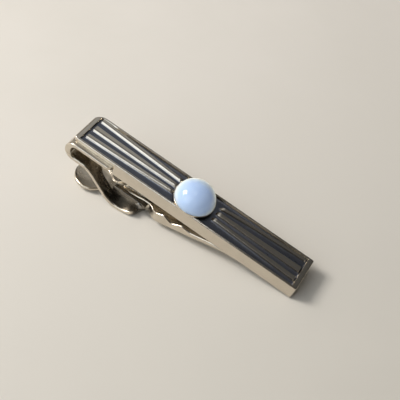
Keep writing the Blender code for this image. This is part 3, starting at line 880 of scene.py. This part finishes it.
class Shader:
    """A material's node tree, with the few node kinds used here."""

    def __init__(self, name):
        self.material = bpy.data.materials.new(name)
        self.material.use_nodes = True
        self.tree = self.material.node_tree
        self.surface = self.tree.nodes["Principled BSDF"]
        coordinates = self.tree.nodes.new("ShaderNodeTexCoord")
        self.place = coordinates.outputs["Object"]

    def link(self, source, target):
        self.tree.links.new(source, target)

    def noise(self, scale, detail=3.0, roughness=0.5, stretch=None):
        """Noise with a scale in features per millimetre."""
        source = self.place
        if stretch is not None:
            mapping = self.tree.nodes.new("ShaderNodeMapping")
            mapping.inputs["Rotation"].default_value = (0.0, -PITCH, 0.0)
            mapping.inputs["Scale"].default_value = stretch
            self.link(source, mapping.inputs["Vector"])
            source = mapping.outputs["Vector"]
        node = self.tree.nodes.new("ShaderNodeTexNoise")
        node.inputs["Scale"].default_value = scale / MM
        node.inputs["Detail"].default_value = detail
        node.inputs["Roughness"].default_value = roughness
        self.link(source, node.inputs["Vector"])
        return node.outputs["Fac"]

    def remap(self, source, low, high, to_low, to_high):
        node = self.tree.nodes.new("ShaderNodeMapRange")
        node.inputs["From Min"].default_value = low
        node.inputs["From Max"].default_value = high
        node.inputs["To Min"].default_value = to_low
        node.inputs["To Max"].default_value = to_high
        self.link(source, node.inputs["Value"])
        return node.outputs["Result"]

    def math(self, operation, first, second):
        node = self.tree.nodes.new("ShaderNodeMath")
        node.operation = operation
        for socket, value in zip(node.inputs, (first, second)):
            if isinstance(value, (int, float)):
                socket.default_value = value
            else:
                self.link(value, socket)
        return node.outputs["Value"]

    def along(self, direction, origin):
        """Distance in millimetres from a world point along a world direction."""
        shift = self.tree.nodes.new("ShaderNodeVectorMath")
        shift.operation = "SUBTRACT"
        self.link(self.place, shift.inputs[0])
        shift.inputs[1].default_value = origin
        dot = self.tree.nodes.new("ShaderNodeVectorMath")
        dot.operation = "DOT_PRODUCT"
        self.link(shift.outputs["Vector"], dot.inputs[0])
        dot.inputs[1].default_value = tuple(c / MM for c in direction)
        return dot.outputs["Value"]

    def mix(self, share, first, second):
        node = self.tree.nodes.new("ShaderNodeMix")
        node.data_type = "RGBA"
        self.link(share, node.inputs["Factor"])
        for socket, value in zip((node.inputs["A"], node.inputs["B"]), (first, second)):
            if isinstance(value, tuple):
                socket.default_value = (*value, 1.0)
            else:
                self.link(value, socket)
        return node.outputs["Result"]

    def bump(self, height, strength, distance):
        node = self.tree.nodes.new("ShaderNodeBump")
        node.inputs["Strength"].default_value = strength
        node.inputs["Distance"].default_value = distance * MM
        self.link(height, node.inputs["Height"])
        self.link(node.outputs["Normal"], self.surface.inputs["Normal"])

    def overlay(self, mask, colour):
        """Lay a colour over the base colour that is already there, where the mask says."""
        base = self.surface.inputs["Base Color"]
        self.link(self.mix(mask, base.links[0].from_socket, colour), base)

    def set(self, **values):
        for name, value in values.items():
            self.surface.inputs[name.replace("_", " ")].default_value = value


def metal(name, bright, dull, rough_low, rough_high, wear):
    """Plated metal: cloudy tone, fine scratches along the piece, and a little waviness."""
    s = Shader(name)
    cloud = s.noise(0.45, 4.0, 0.6)
    grain = s.noise(1.6, 3.0, 0.6, stretch=(0.08, 1.0, 1.0))
    share = s.math("MULTIPLY", s.remap(cloud, 0.35, 0.7, 0.0, 1.0), wear)
    s.link(s.mix(share, bright, dull), s.surface.inputs["Base Color"])
    scratched = s.remap(grain, 0.3, 0.75, rough_low, rough_high)
    clouded = s.remap(cloud, 0.4, 0.7, 0.0, 0.04)
    s.link(s.math("ADD", scratched, clouded), s.surface.inputs["Roughness"])
    s.set(Metallic=1.0)
    height = s.math("ADD", s.math("MULTIPLY", grain, 0.25), s.noise(0.9, 2.0, 0.5))
    s.bump(height, 0.35, 0.02)
    return s


def bar_metal():
    """The bar's plating, with the blackened finish down in the field's grooves."""
    s = metal("bar_plating", BRIGHT_METAL, DULL_METAL, *BAR_FINISH)
    inner = BAR_WIDTH / 2 - RIM_SIDE
    depth = s.along(BAR_UP, tuple(BAR_PLACE))
    across = s.math("ABSOLUTE", s.along((0.0, 1.0, 0.0), tuple(BAR_PLACE)), 0.0)
    below_rim = s.remap(depth, *BLACK_FROM_Z, 0.0, 1.0)
    in_field = s.remap(across, inner + 0.02, inner - 0.02, 0.0, 1.0)
    above_back = s.remap(depth, *BLACK_TO_Z, 1.0, 0.0)
    ragged = s.remap(s.noise(0.7, 3.0, 0.6), 0.25, 0.45, 0.9, 1.0)
    field = s.math("MULTIPLY", below_rim, in_field)
    mask = s.math("MULTIPLY", field, s.math("MULTIPLY", above_back, ragged))
    s.overlay(mask, GROOVE_BLACK)
    rough = s.surface.inputs["Roughness"].links[0].from_socket
    s.link(s.math("ADD", rough, s.math("MULTIPLY", mask, BLACK_ROUGHER)), s.surface.inputs["Roughness"])
    return s.material


def strap_metal():
    """The strap's plating, with painted shade on the inside of the belly and on the ears."""
    s = metal("clip_plating", CLIP_METAL, CLIP_DULL, *STRAP_FINISH)
    origin = tuple(TO_WORLD @ Vector((0.0, CLIP_Y, 0.0)))
    across = s.math("ABSOLUTE", s.along((0.0, 1.0, 0.0), origin), 0.0)
    along = s.along(BAR_ALONG, origin)
    inside = s.remap(across, STRAP_HALF_WIDTH - 0.15, STRAP_HALF_WIDTH - 0.5, 0.0, 1.0)
    near_hinge = s.remap(along, *INSIDE_SHADE_X, 0.1, 0.95)
    depth = s.along(BAR_UP, origin)
    below_leaf = s.remap(depth, *INSIDE_SHADE_Z, 0.0, 1.0)
    uneven = s.remap(s.noise(0.5, 4.0, 0.6), 0.3, 0.6, 0.8, 1.0)
    sheltered = s.math("MULTIPLY", inside, near_hinge)
    mask = s.math("MULTIPLY", sheltered, s.math("MULTIPLY", uneven, below_leaf))
    # painted shade: darkens the inside of the belly and the ears, where they reflect the shaded underside
    s.overlay(mask, INSIDE_SHADE)
    return s.material


def stone_material():
    """Milky blue chalcedony: light scattered inside, faint cloudy bands, a polished surface, with a painted glow
    and a painted pale rim of light at its edges.
    """
    s = Shader("chalcedony")
    cloud = s.noise(0.16, 3.0, 0.55)
    veil = s.noise(0.5, 4.0, 0.6, stretch=(1.0, 1.0, 0.4))
    body = s.mix(s.remap(cloud, 0.35, 0.65, 0.0, 1.0), STONE_BLUE, STONE_MILK)
    veiled = s.mix(s.remap(veil, 0.62, 0.8, 0.0, 0.35), body, STONE_PALE)
    edge = s.tree.nodes.new("ShaderNodeLayerWeight")
    edge.inputs["Blend"].default_value = 0.35
    # painted light: a pale rim and a paler glow at grazing angles, for light shining through the stone's edges
    rim_light = s.remap(edge.outputs["Facing"], 0.25, 0.85, 0.0, 1.0)
    s.link(s.mix(rim_light, veiled, STONE_RIM_PAINTED_LIGHT), s.surface.inputs["Base Color"])
    s.link(s.mix(rim_light, STONE_PAINTED_GLOW, RIM_PAINTED_GLOW), s.surface.inputs["Emission Color"])
    s.link(s.remap(s.noise(1.5, 2.0), 0.3, 0.7, 0.05, 0.09), s.surface.inputs["Roughness"])
    # the emission is painted glow, to lift the stone's shaded side
    s.set(IOR=1.54, Subsurface_Weight=0.8, Subsurface_Radius=(0.8, 0.9, 1.0), Subsurface_Scale=0.004,
          Emission_Strength=0.26)
    s.bump(s.noise(0.35, 2.0), 0.08, 0.05)
    return s.material


def cement_material():
    """Matt, grainy cement."""
    s = Shader("jewellers_cement")
    s.link(s.mix(s.noise(1.2, 4.0), CEMENT_DARK, CEMENT_LIGHT), s.surface.inputs["Base Color"])
    s.link(s.remap(s.noise(3.0, 3.0), 0.3, 0.7, 0.65, 0.9), s.surface.inputs["Roughness"])
    s.bump(s.noise(4.0, 3.0), 0.4, 0.03)
    return s.material


def table_material():
    """A pale matt table top with a very faint grain, and painted light: paler towards its far left, darker towards
    its near right.
    """
    s = Shader("table_top")
    # painted light: the tone runs from a shaded near side to a lit far side
    away = s.remap(s.along(TABLE_LIGHT_FALLOFF, (0.0, 0.0, 0.0)), -TABLE_LIGHT_FALLOFF_REACH, TABLE_LIGHT_FALLOFF_REACH, 0.0, 1.0)
    tone = s.mix(away, TABLE_SHADED_NEAR, TABLE_LIT_FAR)
    s.link(s.mix(s.remap(s.noise(0.02, 4.0, 0.55), 0.3, 0.7, 0.0, 0.5), tone, TABLE_WARM),
           s.surface.inputs["Base Color"])
    s.link(s.remap(s.noise(0.4, 3.0), 0.3, 0.7, 0.55, 0.7), s.surface.inputs["Roughness"])
    s.bump(s.noise(1.1, 3.0, 0.6), 0.05, 0.05)
    return s.material


# --- light, floor and camera -----------------------------------------------------------------------------

def aimed(thing, place, target, roll_degrees=0.0):
    """Stand a camera or light at a place, looking at a target."""
    look = (Vector(target) - Vector(place)).normalized()
    turn = look.to_track_quat("-Z", "Y").to_matrix().to_4x4()
    roll = Matrix.Rotation(math.radians(roll_degrees), 4, "Z")
    thing.matrix_world = Matrix.Translation(place) @ turn @ roll


def add_camera():
    data = bpy.data.cameras.new("camera")
    data.sensor_width = SENSOR
    data.lens = CAMERA_LENS
    data.clip_start, data.clip_end = CLIP_RANGE
    camera = bpy.data.objects.new("camera", data)
    bpy.context.scene.collection.objects.link(camera)
    aim = TO_WORLD @ Vector(CAMERA_AIM)
    turn = math.radians(CAMERA_TURN)
    rise = math.radians(CAMERA_ELEVATION)
    back = Vector((math.sin(turn) * math.cos(rise), -math.cos(turn) * math.cos(rise), math.sin(rise)))
    aimed(camera, aim + back * CAMERA_DISTANCE, aim, CAMERA_ROLL)
    bpy.context.scene.camera = camera


def add_area(name, direction, width, height, power, colour):
    data = bpy.data.lights.new(name, "AREA")
    data.shape = "RECTANGLE"
    data.size = width
    data.size_y = height
    data.energy = power
    data.color = colour
    light = bpy.data.objects.new(name, data)
    bpy.context.scene.collection.objects.link(light)
    aimed(light, Vector(direction).normalized() * LIGHT_DISTANCE, LIGHT_TARGET)


def add_floor():
    half = FLOOR_HALF
    corners = [(-half, -half, 0.0), (half, -half, 0.0), (half, half, 0.0), (-half, half, 0.0)]
    mesh = bpy.data.meshes.new("table_top")
    mesh.from_pydata(corners, [], [(0, 1, 2, 3)])
    floor = bpy.data.objects.new("table_top", mesh)
    bpy.context.scene.collection.objects.link(floor)
    mesh.materials.append(table_material())
    floor.location.z = CAD_BOX[0][2] - FLOOR_GAP


def add_world():
    """A dim room: lighter on the left, and darker beyond the object and to its right."""
    world = bpy.data.worlds.new("studio")
    bpy.context.scene.world = world
    world.use_nodes = True
    tree = world.node_tree
    background = tree.nodes["Background"]
    direction = tree.nodes.new("ShaderNodeTexCoord")
    split = tree.nodes.new("ShaderNodeSeparateXYZ")
    tree.links.new(direction.outputs["Generated"], split.inputs["Vector"])
    product = tree.nodes.new("ShaderNodeMath")
    product.operation = "MULTIPLY"
    for socket, (axis, start, end, low, high) in zip(product.inputs, WORLD_RAMPS):
        ramp = tree.nodes.new("ShaderNodeMapRange")
        ramp.inputs["From Min"].default_value = start
        ramp.inputs["From Max"].default_value = end
        ramp.inputs["To Min"].default_value = low
        ramp.inputs["To Max"].default_value = high
        tree.links.new(split.outputs[axis], ramp.inputs["Value"])
        tree.links.new(ramp.outputs["Result"], socket)
    tree.links.new(product.outputs["Value"], background.inputs["Strength"])
    background.inputs["Color"].default_value = WORLD_COLOUR


def add_light():
    add_world()
    for row in AREA_LIGHTS:
        add_area(*row)


# --- assembly ----------------------------------------------------------------------------------------------

def dress(thing, material, node, body=None):
    """Give a piece its material and say which node it stands for and which body it rides on."""
    thing.data.materials.clear()
    thing.data.materials.append(material)
    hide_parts(node)
    if body is not None:
        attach(thing, body)


def build():
    """Every visible piece, in place of its node."""
    lever_plating = metal("lever_plating", CLIP_METAL, CLIP_DULL, *LEVER_FINISH).material
    bezel_plating = metal("bezel_plating", BRIGHT_METAL, DULL_METAL, *BEZEL_FINISH).material
    steel = metal("drawn_steel", STEEL, STEEL_DULL, *STEEL_FINISH).material
    dress(make_bar(), bar_metal(), "bar_shell", "bar")
    dress(make_bezel(), bezel_plating, "bezel_cup", "bar")
    dress(make_stone(), stone_material(), "cabochon", "bar")
    dress(make_strap(), strap_metal(), "clip_strap", "bar")
    dress(make_pin(), steel, "hinge_pin", "bar")
    dress(make_lever(), lever_plating, "jaw_lever", "lever")
    spring = make_spring()
    dress(spring, steel, "torsion_spring")
    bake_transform(spring)
    cement = frame["nodes"]["cement_bed"]
    cement.data.materials.clear()
    cement.data.materials.append(cement_material())


build()
add_floor()
add_light()
add_camera()
bpy.context.scene.view_settings.view_transform = "Standard"
